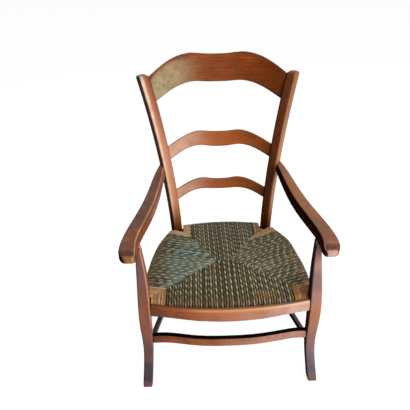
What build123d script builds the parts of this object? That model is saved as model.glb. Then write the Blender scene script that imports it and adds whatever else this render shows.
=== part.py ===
from build123d import *
import math
import os

# Low provincial armchair with a woven rush seat.
# Millimetres, +Z up, the chair faces -Y, floor at Z = 0, origin under the middle of the whole chair.
# Every wooden piece is sawn and joined by stub tenons; the rush is one woven loaf over four seat rails.

# Driving sizes of the whole chair
seat_height = 296.0          # where the front legs are deepest, a little above the apron
front_width = 462.0          # clear width between the front legs at the seat
back_width = 274.0           # clear width between the back posts at the seat
seat_depth = 426.0           # front of the front legs to the front corner of the back posts
front_y = -321.5             # Y of the front of the legs at the seat, which centres the whole chair

# Back posts
post_height = 804.0          # top of the posts, below their domed ends
post_dome = 6.5
post_turn = 32.0             # degrees each post is turned about the vertical
post_bend_height = 302.0     # height where the upper and lower sweeps meet
post_lean = 0.11             # backward slope where the sweeps meet
post_sweep_up = 1064.0       # radius of the upper sweep
post_sweep_down = 620.0      # radius of the lower sweep
post_width = 31.5            # across the face that looks at the sitter, up to the seat
post_width_top = 38.0        # same at the top
post_depth = 28.5            # front to back at the seat
post_depth_top = 33.5        # same at the top
post_depth_foot = 28.0

# Back slats: heights are those of the middle of the front face
# Each wave gives the rise of the two humps, the fall at the shoulders and the fall at the ends of an edge
slat_thickness = 15.0
slat_setback = 5.0           # front of a slat behind the front of its post
slat_edge_round = 2.0
crest_top = 858.0
crest_bottom = 772.0
crest_bow = 55.0
crest_top_wave = (6.0, 9.0, 51.0)
crest_bottom_wave = (4.0, 10.0, 43.5)
middle_top = 617.0
middle_bottom = 567.0
middle_bow = 42.0
middle_top_wave = (5.5, 6.5, 31.0)
middle_bottom_wave = (7.0, 1.0, 24.5)
lower_top = 457.5
lower_bottom = 422.5
lower_bow = 37.0
lower_top_wave = (7.0, 0.0, 18.0)
lower_bottom_wave = (4.0, 1.0, 20.0)

# Front legs
leg_width = 34.0             # at the seat
leg_depth = 42.0             # at the seat
leg_foot_width = 29.0
leg_foot_depth = 36.0
leg_ankle_width = 30.0
leg_ankle_depth = 28.0
leg_top_width = 18.0
leg_top_depth = 31.0
ankle_height = 100.0
ankle_setback = 18.0         # ankle behind the front of the seat
foot_reach = 23.0            # toe in front of the front of the seat
foot_splay = 8.0             # inner side of the foot further out than at the seat
leg_lean = 86.0              # leg under the arm behind the front of the seat
leg_splay = 23.0             # inner side of the leg under the arm further out than at the seat

# Arms
arm_height_back = 526.0      # top of the arm at the post
arm_height_front = 463.0     # top of the arm where its end starts to roll
arm_setback = 60.0           # that place behind the front of the seat
arm_thickness = 33.0
arm_thickness_back = 18.0
arm_bevel = 5.0              # width of the sloping inner side of the arm
arm_bevel_drop = 17.0
arm_nose = 49.0              # length of the rolled end
arm_nose_drop = 23.5         # middle of the bead on the rolled end below the top of the arm
arm_bead_radius = 11.0
arm_overhang = 79.5          # outside of each arm beyond the inner side of the leg at the seat

# Apron, stretchers and seat rails
apron_height = 40.0
apron_drop = 4.0             # top of the apron below the seat height
apron_thickness = 14.0
apron_setback = 3.0          # apron ends behind the front of the legs
apron_bow = 30.0
apron_dip = 4.0              # lower edge in the middle below its ends
apron_lift = 3.0             # lower edge near the legs above its ends
front_stretcher_height = 29.0
front_stretcher_bottom = 138.0
front_stretcher_thickness = 19.0
front_stretcher_bow = 24.0
front_stretcher_setback = 18.0
side_stretcher_height = 17.0
side_stretcher_width = 14.0
side_stretcher_middle = 106.0
side_stretcher_place = 0.7   # share of the way across the face of the post
back_stretcher_height = 26.0
back_stretcher_width = 15.0
back_stretcher_middle = 168.0
rail_width = 20.0
front_rail_width = 16.0
rail_height = 26.0
rail_drop = 12.0             # seat rails below the seat height
side_bow = 20.0
back_bow = 15.0

# Rush seat
rush_thickness = 7.0         # rush round a rail
rush_rise = 20.0             # middle of the seat above the seat height
rush_crown_radius = 2400.0
rush_edge_radius = 13.0
rush_skin = 9.0              # rush above and below the straw filling
straw_reach = 46.0           # natural straw corners, measured from the legs
straw_reach_back = 26.0
straw_depth_front = 68.0
straw_depth_back = 62.0
straw_slant_front = 8.0      # skew of the inner edge of the front straw
straw_slant_back = 23.0      # skew of the front edge of the back straw

# Joints
tenon_length = 14.0
tenon_thickness = 9.0
tenon_shoulder = 4.0         # tenon smaller than its rail all round, up and down
joint_clearance = 0.15
soft_clearance = 0.3
edge_round = 3.0

# Places that follow from the sizes
turn = math.radians(post_turn)
sweep_x = math.sin(turn)
sweep_y = math.cos(turn)
leg_inner = front_width / 2
post_inner = back_width / 2
post_y = front_y + seat_depth
apron_top = seat_height - apron_drop
rail_top = seat_height - rail_drop
rail_bottom = rail_top - rail_height
rush_crown = seat_height + rush_rise
far = 1000.0                 # reach of the cutting prisms, beyond the whole chair
run_on = 60.0                # length a piece runs past a joint before it is trimmed


def post_sweep(z):
    """Distance the front of a post lies behind its seat position at height z."""
    rise = z - post_bend_height
    radius = post_sweep_up if rise > 0 else post_sweep_down
    return post_lean * rise + rise * rise / (2 * radius)


def post_slope(z):
    """Backward slope of a post at height z, measured straight back along Y."""
    rise = z - post_bend_height
    radius = post_sweep_up if rise > 0 else post_sweep_down
    return sweep_y * (post_lean + rise / radius)


def post_point(z, across, behind):
    """Plan position on the right post: across its face and behind its front, at height z."""
    along = post_sweep(z) + behind
    x = post_inner + along * sweep_x + across * sweep_y
    y = post_y + along * sweep_y - across * sweep_x
    return x, y


def between(low, high, share):
    """Value at a share of the way from low to high."""
    return low + (high - low) * share


def closed_face(*curves):
    """Flat face bounded by curves that meet end to end."""
    return make_face(Curve() + list(curves))


def long_edges(solid, least):
    """Edges of a solid longer than the given length."""
    return solid.edges().filter_by(lambda edge: edge.length > least)


def mirrored(solid):
    """The same piece on the left side of the chair."""
    return mirror(solid, about=Plane.YZ)


def prism(points, bottom, top):
    """Upright prism on a plan polygon."""
    return extrude(Plane.XY.offset(bottom) * make_face(Polyline(*points, close=True)), top - bottom)


def bar(x_limits, y_limits, z_limits):
    """Square block between limits."""
    size = [limits[1] - limits[0] for limits in (x_limits, y_limits, z_limits)]
    middle = [(limits[1] + limits[0]) / 2 for limits in (x_limits, y_limits, z_limits)]
    return Pos(*middle) * Box(*size)


def bowed_strip(half, reach, front, bow, thickness, bottom, top):
    """Strip bowed by `bow` over the half width `half`, carried on to `reach` either side."""
    end = front + bow * ((reach / half) ** 2 - 1)
    face = closed_face(
        ThreePointArc((-reach, end), (0, front - bow), (reach, end)),
        Line((reach, end), (reach, end + thickness)),
        ThreePointArc((reach, end + thickness), (0, front - bow + thickness), (-reach, end + thickness)),
        Line((-reach, end + thickness), (-reach, end)),
    )
    return extrude(Plane.XY.offset(bottom) * face, top - bottom)


def post_front_plane():
    """Upright plane along the face of the right post that looks at the sitter."""
    return Plane(origin=(post_inner, post_y, 0), x_dir=(sweep_y, -sweep_x, 0), z_dir=(-sweep_x, -sweep_y, 0))


def post_blank(grow=0.0):
    """Right post before mortises: a swept side outline met by a front outline that widens upwards."""
    upper = [between(post_bend_height, post_height, quarter / 4) for quarter in range(5)]
    levels = [0, post_bend_height / 2, *upper]
    depths = {0: post_depth_foot, post_height: post_depth_top}
    front = [(post_sweep(z) - grow, z) for z in levels]
    back = []
    for z in levels:
        share = max(0.0, (z - post_bend_height) / (post_height - post_bend_height))
        depth = depths.get(z, between(post_depth, post_depth_top, share))
        back.append((post_sweep(z) + depth + grow, z))
    # This arc rises above the front outline's, so the rounded end has no point where four faces meet
    crown = (post_sweep(post_height) + post_depth_top / 2, post_height + 1.3 * post_dome + grow)
    side = closed_face(
        Spline(*front), ThreePointArc(front[-1], crown, back[-1]), Spline(*back), Line(front[0], back[0])
    )
    plane = Plane(origin=(post_inner, post_y, 0), x_dir=(sweep_x, sweep_y, 0), z_dir=(sweep_y, -sweep_x, 0))
    blank = extrude(plane.offset(-grow) * side, post_width_top + 2 * grow)
    inner_top = (-grow, post_height)
    outer_top = (post_width_top + grow, post_height)
    outer_bend = (post_width + grow, post_bend_height)
    face = closed_face(
        Polyline(inner_top, (-grow, -grow), (post_width + grow, -grow), outer_bend, outer_top),
        ThreePointArc(outer_top, (post_width_top / 2, post_height + post_dome + grow), inner_top),
    )
    return blank & extrude(post_front_plane() * face, far, both=True)


def between_posts(extra):
    """Prism between the inner faces of the two posts, grown by `extra` into each post."""
    widen = extra / sweep_y
    spread = far * sweep_x / sweep_y
    near_x = post_inner - spread * 0.2 + widen
    far_x = post_inner + spread * 0.8 + widen
    near_y = post_y - 0.2 * far
    far_y = post_y + 0.8 * far
    return prism([(-near_x, near_y), (near_x, near_y), (far_x, far_y), (-far_x, far_y)], 0, far)


def slat_edge(half, middle, hump, shoulder, drop):
    """Points of one wavy slat edge: two humps, falling shoulders and lower ends, as (x, height).

    The edge is carried a little past the half width `half`, along the fall of the shoulders.
    """
    right = [
        (0.2, middle + 0.3 * hump),
        (0.38, middle + hump),
        (0.7, middle - shoulder),
        (1.0, middle - drop),
        (1.15, middle - drop - 0.5 * (drop - shoulder)),
    ]
    left = [(-share, height) for share, height in reversed(right)]
    return [(share * half, height) for share, height in left + [(0.0, middle)] + right]


def back_slat(top, bottom, bow, top_wave, bottom_wave):
    """Bowed wavy slat and its two stub tenons, square to the rake of the posts.

    Returns the finished slat and the slightly larger tenon strip that cuts the mortises.
    """
    end_low = bottom - bottom_wave[2]
    end_high = top - top_wave[2]
    middle = (end_low + end_high) / 2
    rake = math.atan(post_slope(middle))
    half, chord_y = post_point(middle, 0, slat_setback)
    lean = (0, math.sin(rake), math.cos(rake))
    forward = (0, -math.cos(rake), math.sin(rake))
    bow_across = bow * math.cos(rake)

    def on_face(points):
        turned = []
        for x, height in points:
            depth = bow_across * (1 - (x / half) ** 2)
            turned.append((x, (height - middle + depth * math.sin(rake)) / math.cos(rake)))
        return turned

    def strip(front, back, reach):
        end = bow_across * (1 - (reach / half) ** 2)
        face = closed_face(
            ThreePointArc((-reach, end + front), (0, bow_across + front), (reach, end + front)),
            Line((reach, end + front), (reach, end + back)),
            ThreePointArc((reach, end + back), (0, bow_across + back), (-reach, end + back)),
            Line((-reach, end + back), (-reach, end + front)),
        )
        plane = Plane(origin=(0, chord_y, middle), x_dir=(1, 0, 0), z_dir=lean)
        return extrude(plane * face, top, both=True)

    half_top = post_point(end_high, 0, slat_setback)[0]
    half_low = post_point(end_low, 0, slat_setback)[0]
    upper = on_face(slat_edge(half_top, top, *top_wave))
    lower = on_face(slat_edge(half_low, bottom, *bottom_wave))
    reach = upper[-1][0]
    edge_line = Plane(origin=(0, chord_y, middle), x_dir=(1, 0, 0), z_dir=forward)
    ends = [Line(upper[-1], lower[-1]), Line(upper[0], lower[0])]
    outline = closed_face(Spline(*upper), Spline(*lower), *ends)
    body = extrude(edge_line * outline, far / 2, both=True) & strip(0, slat_thickness, reach)
    body = body & between_posts(0)
    body = fillet(long_edges(body, half), slat_edge_round)

    def tenons(slack):
        inset = (slat_thickness - tenon_thickness) / 2 - slack
        low = lower[-2][1] + 2 * tenon_shoulder - slack
        high = upper[-2][1] - 3 * tenon_shoulder + slack
        window = make_face(Polyline((-reach, low), (reach, low), (reach, high), (-reach, high), close=True))
        whole = strip(inset, slat_thickness - inset, reach) & extrude(edge_line * window, far / 2, both=True)
        return (whole & between_posts(tenon_length + 2 * slack)) - between_posts(-1)

    return body + tenons(0), tenons(joint_clearance)


def leg_curves(grow):
    """Front, back, inner and outer curves of the right front leg from floor to arm, as (offset, height)."""

    def below_seat(share):
        return between(ankle_height, seat_height, share)

    def above_seat(share):
        return between(seat_height, arm_height_front, share)

    # Setback of the front, height and depth: toe, instep, ankle, calf, knee at the seat, then up to the arm
    side = [
        (-foot_reach, 0, leg_foot_depth),
        (0.28 * ankle_setback, 0.5 * ankle_height, leg_ankle_depth),
        (ankle_setback, ankle_height, leg_ankle_depth),
        (0.78 * ankle_setback, below_seat(0.26), between(leg_ankle_depth, leg_depth, 0.3)),
        (0.17 * ankle_setback, below_seat(0.64), between(leg_ankle_depth, leg_depth, 0.8)),
        (0, below_seat(0.93), leg_depth),
        (0.38 * leg_lean, above_seat(0.46), between(leg_depth, leg_top_depth, 0.4)),
        (leg_lean, above_seat(0.91), leg_top_depth),
        (1.1 * leg_lean, arm_height_front, leg_top_depth),
    ]
    # Splay of the inner side, height and width at the same kind of stations
    face = [
        (foot_splay, 0, leg_foot_width),
        (0.5 * foot_splay, 0.6 * ankle_height, leg_foot_width),
        (0.1 * foot_splay, 1.25 * ankle_height, leg_ankle_width),
        (0, below_seat(0.6), leg_width),
        (0, seat_height, leg_width),
        (0.33 * leg_splay, above_seat(0.47), between(leg_width, leg_top_width, 0.4)),
        (leg_splay, above_seat(0.86), leg_top_width),
        (1.2 * leg_splay, arm_height_front, leg_top_width),
    ]
    front_curve = [(front_y + setback - grow, z) for setback, z, depth in side]
    back_curve = [(front_y + setback + depth + grow, z) for setback, z, depth in side]
    inner_curve = [(leg_inner + splay - grow, z) for splay, z, width in face]
    outer_curve = [(leg_inner + splay + width + grow, z) for splay, z, width in face]
    return front_curve, back_curve, inner_curve, outer_curve


def leg_blank(grow=0.0):
    """Right front leg before joints: S-shaped side outline met by a slimmer front outline."""
    front, back, inner, outer = leg_curves(grow)
    side = closed_face(Spline(*front), Line(front[-1], back[-1]), Spline(*back), Line(front[0], back[0]))
    face = closed_face(Spline(*inner), Line(inner[-1], outer[-1]), Spline(*outer), Line(inner[0], outer[0]))
    return extrude(Plane.YZ * side, far, both=True) & extrude(Plane.XZ * face, far, both=True)


def arm_joint():
    """Plan point on the outer face of the right post where the arm ends."""
    return post_point(arm_height_back - arm_thickness_back / 2, post_width, 0)


arm_start = front_y + arm_setback
arm_length = arm_joint()[1] - arm_start
arm_slope = (arm_height_back - arm_height_front) / arm_length


def arm_outline(shift):
    """Plan outline of the right arm from its rolled end to the post.

    The inner side is moved out by `shift`. A point is set by its share of the arm's length and by its
    spread from the post out to the widest part.
    """
    joint_x = arm_joint()[0]
    widest_x = leg_inner + arm_overhang
    nose = -arm_nose / arm_length

    def place(share, spread, move=0.0):
        return between(joint_x, widest_x, spread) + move, share * arm_length

    outer = [place(1.1, 0.13), place(0.93, 0.28), place(0.68, 0.43), place(0.4, 0.65), place(0.18, 0.87),
             place(0, 0.99), place(nose + 0.08, 1)]
    tip = [outer[-1], place(nose + 0.03, 0.94), place(nose, 0.82), place(nose, 0.66, shift)]
    inner = [tip[-1], place(nose + 0.04, 0.6, shift), place(0, 0.59, shift), place(0.22, 0.465, shift),
             place(0.49, 0.235, shift), place(0.77, 0.09, shift), place(1.02, 0, shift)]
    rear = Polyline(inner[-1], place(1.1, -0.2), outer[0])
    return closed_face(Spline(*outer), Spline(*tip), Spline(*inner), rear)


def arm_side():
    """Side outline of the arms, sloping down to a rolled and beaded end, carried across the whole chair."""
    rear_y = arm_start + arm_length + run_on
    rear_top = arm_height_back + run_on * arm_slope
    roll_y = arm_start + arm_nose / 2
    roll_z = arm_height_front + arm_slope * arm_nose / 2
    bead_y = arm_start - arm_nose + arm_bead_radius
    bead_z = arm_height_front - arm_nose_drop
    lip = (bead_y + 0.5 * arm_bead_radius, bead_z + 0.87 * arm_bead_radius)
    under = (bead_y, bead_z - arm_bead_radius)
    outline = closed_face(
        Line((rear_y, rear_top), (roll_y, roll_z)),
        Spline((roll_y, roll_z), lip, tangents=[(-1, -arm_slope), (-0.7, -0.75)]),
        ThreePointArc(lip, (bead_y - arm_bead_radius, bead_z), under),
        Spline(under, (roll_y, roll_z - arm_thickness), (rear_y, rear_top - arm_thickness_back)),
        Line((rear_y, rear_top - arm_thickness_back), (rear_y, rear_top)),
    )
    return extrude(Plane.YZ * outline, far, both=True)


def arm_blank():
    """Right arm before joints: bevelled plan outline met by the sloping side outline."""

    def level(drop):
        """Plane parallel to the top of the arm, `drop` below it."""
        corner = (0, arm_start, arm_height_front - drop)
        return Plane(origin=corner, x_dir=(1, 0, 0), z_dir=(0, -arm_slope, 1))

    spare = arm_thickness / 2
    widest = level(arm_bevel_drop) * arm_outline(0)
    narrowest = level(-spare) * arm_outline(arm_bevel * (1 + spare / arm_bevel_drop))
    body = loft([widest, narrowest], ruled=True) + extrude(widest, -2 * arm_thickness)
    return body & arm_side()


def largest(shape):
    """Largest solid of a shape that may have been cut into several."""
    return shape.solids().sort_by(SortBy.VOLUME)[-1]


def plan_bar(start, end, width, bottom, top):
    """Straight bar between two plan points."""
    dx = end[0] - start[0]
    dy = end[1] - start[1]
    length = math.hypot(dx, dy)
    side = (-dy / length * width / 2, dx / length * width / 2)
    corners = [(start[0] + side[0], start[1] + side[1]), (end[0] + side[0], end[1] + side[1]),
               (end[0] - side[0], end[1] - side[1]), (start[0] - side[0], start[1] - side[1])]
    return prism(corners, bottom, top)


def beyond(start, end, distance):
    """Plan point the given distance past the end of a line."""
    length = math.hypot(end[0] - start[0], end[1] - start[1])
    share = 1 + distance / length
    return between(start[0], end[0], share), between(start[1], end[1], share)


apron_back = front_y + apron_setback + apron_thickness
front_rail_y = apron_back + soft_clearance + rush_thickness
high_tenon = (rail_top - rail_height / 2 + 1, rail_top - tenon_shoulder / 2)
low_tenon = (rail_bottom + tenon_shoulder / 2, rail_top - rail_height / 2 - 1)
side_tenon = tenon_length - 2


def front_rail(grow=0.0):
    """Hidden rail behind the apron that carries the front edge of the rush."""
    return bowed_strip(leg_inner, leg_inner + 2, front_rail_y - grow, apron_bow, front_rail_width + 2 * grow,
                       rail_bottom - grow, rail_top + grow)


def front_rail_tenon(slack):
    """Right tenon of the front rail, in the upper half of the rail."""
    y = front_rail_y + 2
    return bar((leg_inner - 1, leg_inner + tenon_length + slack), (y - slack, y + tenon_thickness + slack),
               (high_tenon[0] - slack, high_tenon[1] + slack))


def side_rail_ends():
    """Plan ends of the middle line of the right side rail, at the post and at the leg."""
    at_post = post_point(rail_top - rail_height / 2, post_width, post_depth / 2)
    at_leg = (leg_inner + 1, front_y + leg_depth)
    return at_post, at_leg


def side_curve(offset, extra):
    """Bowed line beside the right edge of the seat, `offset` outside the middle of the rail.

    Both ends are carried on by `extra` along the same bow.
    """
    start, end = side_rail_ends()
    dx = end[0] - start[0]
    dy = end[1] - start[1]
    length = math.hypot(dx, dy)
    out = (-dy / length, dx / length)
    middle = ((start[0] + end[0]) / 2, (start[1] + end[1]) / 2)
    end_shift = offset + side_bow * (1 - (1 + 2 * extra / length) ** 2)

    def moved(point, shift):
        return point[0] + out[0] * shift, point[1] + out[1] * shift

    first = moved(beyond(end, start, extra), end_shift)
    last = moved(beyond(start, end, extra), end_shift)
    return first, moved(middle, side_bow + offset), last


def side_rail(grow=0.0):
    """Right side rail, bowed outwards from post to leg."""
    outer = side_curve(rail_width / 2 + grow, 3)
    inner = side_curve(-rail_width / 2 - grow, 3)
    ends = [Line(outer[2], inner[2]), Line(inner[0], outer[0])]
    face = closed_face(ThreePointArc(*outer), ThreePointArc(*inner), *ends)
    behind_leg = bar((0, far), (front_y + leg_depth - grow, far), (0, far))
    return extrude(Plane.XY.offset(rail_bottom - grow) * face, rail_height + 2 * grow) & behind_leg


def side_rail_tenons(slack):
    """Tenons of the right side rail, in its lower half, square to the post and to the leg."""
    start, end = side_rail_ends()
    levels = (low_tenon[0] - slack, low_tenon[1] + slack)
    reach = side_tenon + slack
    post_end = (start[0] - reach * sweep_y, start[1] + reach * sweep_x)
    post_start = (start[0] + sweep_y, start[1] - sweep_x)
    in_post = plan_bar(post_start, post_end, tenon_thickness + 2 * slack, *levels)
    leg_x = leg_inner + 2 + tenon_thickness / 2
    in_leg = plan_bar((leg_x, end[1] + 2), (leg_x, end[1] - reach), tenon_thickness + 2 * slack, *levels)
    return in_post, in_leg


def back_rail_line():
    """Half length and Y of the middle line of the back rail where it meets the posts."""
    return post_point(rail_top - rail_height / 2, 0, post_depth / 2)


def back_rail(grow=0.0):
    """Back rail, bowed backwards between the posts."""
    half, y = back_rail_line()
    thickness = rail_width + 2 * grow
    strip = bowed_strip(half, half + run_on / 2, y - thickness / 2, -back_bow, thickness,
                        rail_bottom - grow, rail_top + grow)
    return strip & between_posts(0)


def back_rail_tenons(slack):
    """Both tenons of the back rail, in its upper half."""
    half, y = back_rail_line()
    thickness = tenon_thickness + 2 * slack
    strip = bowed_strip(half, half + run_on / 2, y - thickness / 2, -back_bow, thickness,
                        high_tenon[0] - slack, high_tenon[1] + slack)
    return (strip & between_posts(tenon_length + slack)) - between_posts(-1)


def apron_blank():
    """Bowed apron with a lower edge that lifts near the legs and dips in the middle."""
    strip = bowed_strip(leg_inner, leg_inner + 2, front_y + apron_setback, apron_bow, apron_thickness,
                        0, apron_top)
    low = apron_top - apron_height
    lift = (0.84 * leg_inner, low + apron_lift)
    quarter = (0.45 * leg_inner, low - 0.4 * apron_dip)
    reach = leg_inner + 5
    right = [quarter, lift, (reach, low)]
    left = [(-x, z) for x, z in reversed(right)]
    lower = Spline(*left, (0, low - apron_dip), *right)
    outline = closed_face(lower, Polyline((reach, low), (reach, far), (-reach, far), (-reach, low)))
    return strip & extrude(Plane.XZ * outline, far, both=True)


def apron_tenon(slack):
    """Right stub tenon of the apron."""
    y = front_y + apron_setback + (apron_thickness - tenon_thickness) / 2
    low = apron_top - apron_height + 2 * tenon_shoulder
    high = apron_top - 2 * tenon_shoulder
    depths = (y - slack, y + tenon_thickness + slack)
    return bar((leg_inner - 1, leg_inner + tenon_length / 2 + slack), depths, (low - slack, high + slack))


def front_stretcher_blank():
    """Front stretcher: straight beside the legs, bowed forwards in the middle."""
    y = front_y + front_stretcher_setback
    reach = leg_inner + 3
    side = [(0.86 * leg_inner, y), (0.45 * leg_inner, y - 0.72 * front_stretcher_bow)]

    def edge(shift):
        right = [(px, py + shift) for px, py in side]
        left = [(-px, py) for px, py in right]
        middle = (0, y - front_stretcher_bow + shift)
        points = [(-reach, y + shift), *left, middle, *reversed(right), (reach, y + shift)]
        return Spline(*points, tangents=[(1, 0), (1, 0)])

    back = y + front_stretcher_thickness
    ends = [Line((reach, y), (reach, back)), Line((-reach, y), (-reach, back))]
    face = closed_face(edge(0), edge(front_stretcher_thickness), *ends)
    return extrude(Plane.XY.offset(front_stretcher_bottom) * face, front_stretcher_height)


def front_stretcher_tenon(slack):
    """Right tenon of the front stretcher."""
    y = front_y + front_stretcher_setback + (front_stretcher_thickness - tenon_thickness) / 2
    low = front_stretcher_bottom + tenon_shoulder
    high = front_stretcher_bottom + front_stretcher_height - tenon_shoulder
    return bar((leg_inner - 1, leg_inner + tenon_length + slack), (y - slack, y + tenon_thickness + slack),
               (low - slack, high + slack))


def side_stretcher_ends():
    """Plan ends of the right side stretcher: on the front of the post and the middle of the leg's back."""
    at_post = post_point(side_stretcher_middle, side_stretcher_place * post_width, 0)
    at_leg = (leg_inner + leg_ankle_width / 2, front_y + ankle_setback + leg_ankle_depth)
    return at_post, at_leg


def side_stretcher_blank():
    """Right side stretcher, run a little into both legs before it is trimmed to them."""
    at_post, at_leg = side_stretcher_ends()
    low = side_stretcher_middle - side_stretcher_height / 2
    blank = plan_bar(beyond(at_leg, at_post, 8), beyond(at_post, at_leg, 8), side_stretcher_width,
                     low, low + side_stretcher_height)
    return fillet(long_edges(blank, seat_depth / 4), edge_round)


def side_stretcher_tenon(slack):
    """Full length tenon strip of the right side stretcher."""
    at_post, at_leg = side_stretcher_ends()
    half = side_stretcher_height / 2 - tenon_shoulder + slack
    reach = side_tenon + slack
    back_end = beyond(at_leg, at_post, reach)
    front_end = beyond(at_post, at_leg, reach)
    return plan_bar(back_end, front_end, tenon_thickness + 2 * slack,
                    side_stretcher_middle - half, side_stretcher_middle + half)


def back_stretcher_bar(width, height, reach):
    """Bar between the back legs, carried `reach` into each post."""
    half, y = post_point(back_stretcher_middle, 0, post_depth / 2)
    low = back_stretcher_middle - height / 2
    ends = (-half - run_on, half + run_on)
    return bar(ends, (y - width / 2, y + width / 2), (low, low + height)) & between_posts(reach)


def seat_outline():
    """Plan face of the rush seat, with rounded corners that lie inside the legs and posts."""
    half_front = leg_inner + 6
    front = apron_back + soft_clearance
    side = side_curve(rail_width / 2 + rush_thickness, 0)
    half_back, back_mid = back_rail_line()
    back = back_mid + rail_width / 2 + rush_thickness
    corner = (half_front, front + apron_bow * ((half_front / leg_inner) ** 2 - 1))
    rear = (half_back, back)

    def flip(point):
        return -point[0], point[1]

    left = [flip(point) for point in reversed(side)]
    face = closed_face(
        ThreePointArc(flip(corner), (0, front - apron_bow), corner),
        Line(corner, side[2]),
        ThreePointArc(*reversed(side)),
        Line(side[0], rear),
        ThreePointArc(rear, (0, back + back_bow), flip(rear)),
        Line(flip(rear), left[2]),
        ThreePointArc(*reversed(left)),
        Line(left[0], flip(corner)),
    )
    return face


def seat_dome(crown):
    """Ball whose top gives the shallow crown of the seat."""
    centre = Pos(0, front_y + seat_depth / 2, crown - rush_crown_radius)
    return centre * Rot(0, 90, 0) * Sphere(rush_crown_radius)


def filling_solid(slack):
    """Straw filling inside the rush: the crowned space left between the four rails."""
    gap = 2 * rush_thickness + slack
    bottom = rail_bottom + 2 + slack
    levels = (bottom, far / 2)
    front = front_rail_y + front_rail_width + gap
    half_back, back_mid = back_rail_line()
    back = back_mid - rail_width / 2 - gap
    depth = seat_depth
    front_zone = bowed_strip(leg_inner, leg_inner, front, apron_bow, depth, *levels)
    back_zone = bowed_strip(half_back, leg_inner, back - depth, -back_bow, depth, *levels)
    side = side_curve(-rail_width / 2 - gap, seat_depth / 4)
    left = [(-x, y) for x, y in side]
    ends = [Line(side[2], left[2]), Line(left[0], side[0])]
    face = closed_face(ThreePointArc(*side), ThreePointArc(*left), *ends)
    side_zone = extrude(Plane.XY.offset(bottom) * face, far / 2)
    return front_zone & back_zone & side_zone & seat_dome(rush_crown - rush_skin - slack)


def post_shadow():
    """Space straight behind the right post, kept free of rush."""
    points = [post_point(rail_top, 0, post_depth / 2), post_point(rail_top, post_width, post_depth / 2),
              post_point(rail_top, post_width, 4 * post_depth), post_point(rail_top, 0, 4 * post_depth)]
    return prism(points, 0, far / 2)


def rush_loaf():
    """Whole woven seat as one rounded loaf, cut clear of legs, posts, rails and filling."""
    underside = Plane.XY.offset(rail_bottom - rush_thickness)
    loaf = extrude(underside * seat_outline(), far) & seat_dome(rush_crown)
    loaf = fillet(loaf.edges().filter_by(Axis.Z), rush_edge_radius)
    top_edges = loaf.edges().filter_by(lambda edge: edge.center().Z > rail_top)
    loaf = fillet(top_edges, rush_edge_radius)
    low_edges = loaf.edges().group_by(Axis.Z)[0]
    loaf = fillet(low_edges, rush_edge_radius / 2)
    leg = leg_blank(soft_clearance)
    post = post_blank(soft_clearance) + post_shadow()
    side = side_rail(soft_clearance) + list(side_rail_tenons(joint_clearance))
    inside = front_rail(soft_clearance) + back_rail(soft_clearance) + filling_solid(0)
    return loaf - leg - mirrored(leg) - post - mirrored(post) - side - mirrored(side) - inside


def straw_box_front():
    """Plan zone of the natural straw beside the right front leg."""
    x = leg_inner - straw_reach
    y = apron_back + straw_depth_front
    return prism([(x, -far), (far, -far), (far, y), (x + straw_slant_front, y)], 0, far)


def straw_box_back():
    """Plan zone of the natural straw in front of the right post."""
    x = post_inner - straw_reach_back
    outer = post_point(rail_top, post_width, post_depth)[0]
    y = post_y - straw_depth_back
    return prism([(x, y), (outer, y + straw_slant_back), (outer, far), (x, far)], 0, far)


def finished_post():
    """Right post with rounded edges and every mortise that meets it."""
    post = post_blank()
    post = fillet(long_edges(post, post_height / 2), edge_round)
    cutters = [mortise for slat, mortise in slats.values()]
    cutters += [back_rail_tenons(joint_clearance), side_rail_tenons(joint_clearance)[0]]
    cutters += [side_stretcher_tenon(joint_clearance), arm_tenon(joint_clearance)]
    slack = 2 * joint_clearance
    cutters += [back_stretcher_bar(tenon_thickness + slack, back_tenon_height + slack, tenon_length + slack)]
    for cutter in cutters:
        post = post - cutter
    return post


def post_outer_side():
    """Everything on the sitter's side of the outer face of the right post."""
    face = Polyline((-far, 0), (post_width, 0), (post_width, post_bend_height), (post_width_top, post_height),
                    (-far, post_height), close=True)
    return extrude(post_front_plane() * make_face(face), far, both=True)


def arm_tenon(slack):
    """Tenon of the right arm, square to the outer face of the post."""
    middle = arm_height_back - arm_thickness_back / 2 - 2
    start = post_point(middle, post_width_top + 2, post_depth / 2 + 1)
    end = post_point(middle, post_width - side_tenon - slack, post_depth / 2 + 1)
    half = arm_thickness_back / 2 - tenon_shoulder + slack
    return plan_bar(start, end, tenon_thickness + 2 * slack, middle - half, middle + half)


def leg_tenon(slack):
    """Tenon of the right leg, standing up into the arm."""
    x = leg_inner + leg_splay + leg_top_width / 2
    y = front_y + leg_lean + leg_top_depth / 2
    half_x = tenon_thickness / 2 + slack
    half_y = tenon_thickness + slack
    top = arm_height_front - arm_thickness / 2 + slack
    bottom = arm_height_front - arm_thickness - tenon_shoulder
    return bar((x - half_x, x + half_x), (y - half_y, y + half_y), (bottom, top))


def finished_arm():
    """Right arm trimmed to the post, its two upper edges eased, with its tenon and mortise."""
    arm = largest(arm_blank() - post_outer_side())
    upper_edges = long_edges(arm, arm_length / 2).sort_by(Axis.Z)[-2:]
    arm = fillet(upper_edges, edge_round)
    return arm + (arm_tenon(0) & post_outer_side()) - leg_tenon(joint_clearance)


def finished_leg():
    """Right front leg with rounded edges, trimmed under the arm, with tenon and mortises."""
    leg = fillet(long_edges(leg_blank(), arm_height_front * 0.8), edge_round)
    leg = largest(leg - arm_side())
    leg = leg + leg_tenon(0)
    cutters = [front_rail_tenon(joint_clearance), side_rail_tenons(joint_clearance)[1]]
    cutters += [apron_tenon(joint_clearance), front_stretcher_tenon(joint_clearance)]
    cutters += [side_stretcher_tenon(joint_clearance)]
    for cutter in cutters:
        leg = leg - cutter
    return leg


def both_sides(piece):
    """A piece and its mirror image as one shape."""
    return piece + mirrored(piece)


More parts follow.
